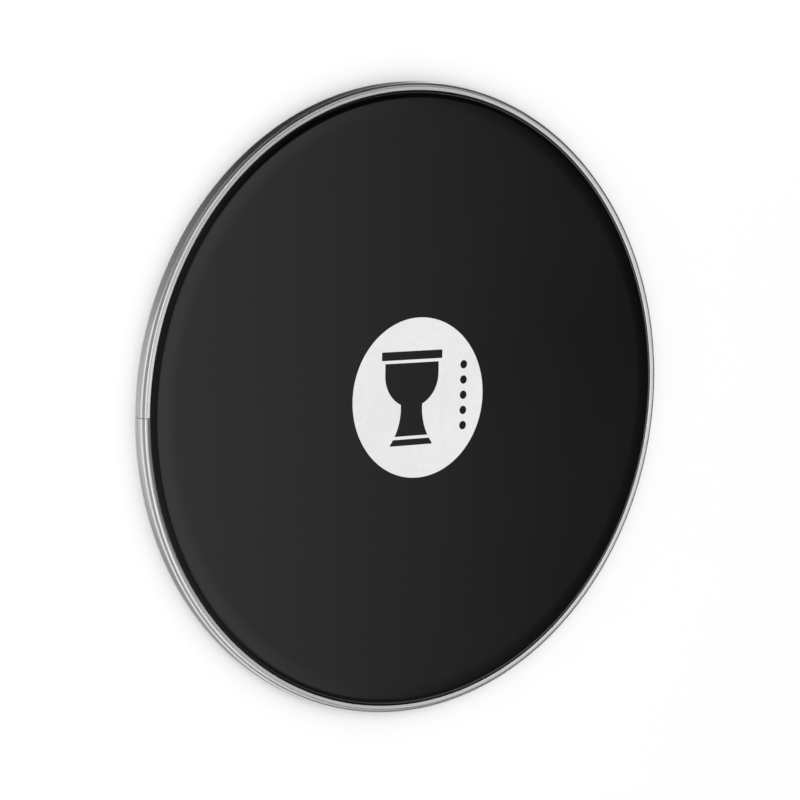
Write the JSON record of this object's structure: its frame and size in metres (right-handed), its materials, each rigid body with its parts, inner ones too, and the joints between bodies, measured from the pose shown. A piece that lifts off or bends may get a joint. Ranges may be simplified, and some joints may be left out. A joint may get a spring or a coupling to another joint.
{
  "type": "drumhead",
  "caption": "Hand-drum head: taut black film with a low collar, locked in a slim rolled aluminium hoop, with a round white print in the middle.",
  "frame": {"origin": "centre of the hoop's bottom face, on the head's axis", "axes": "+Z along the head's axis, towards the playing side; +Y towards the top of the print; the hoop's butt joint lies on -X"},
  "size_m": [0.2214, 0.2214, 0.0069],
  "materials": {
    "hoop": "bright rolled, fine lines along the hoop",
    "splice": "mill",
    "wire": "bright drawn",
    "film": "satin",
    "resin": "cast",
    "print": "satin ink"
  },
  "bodies": {
    "root": {"flesh_hoop": "hoop", "hoop_splice": "splice", "locking_ring": "wire", "drum_film": "film", "seal_bead": "resin", "print_disc": "print"}
  },
  "joints": []
}
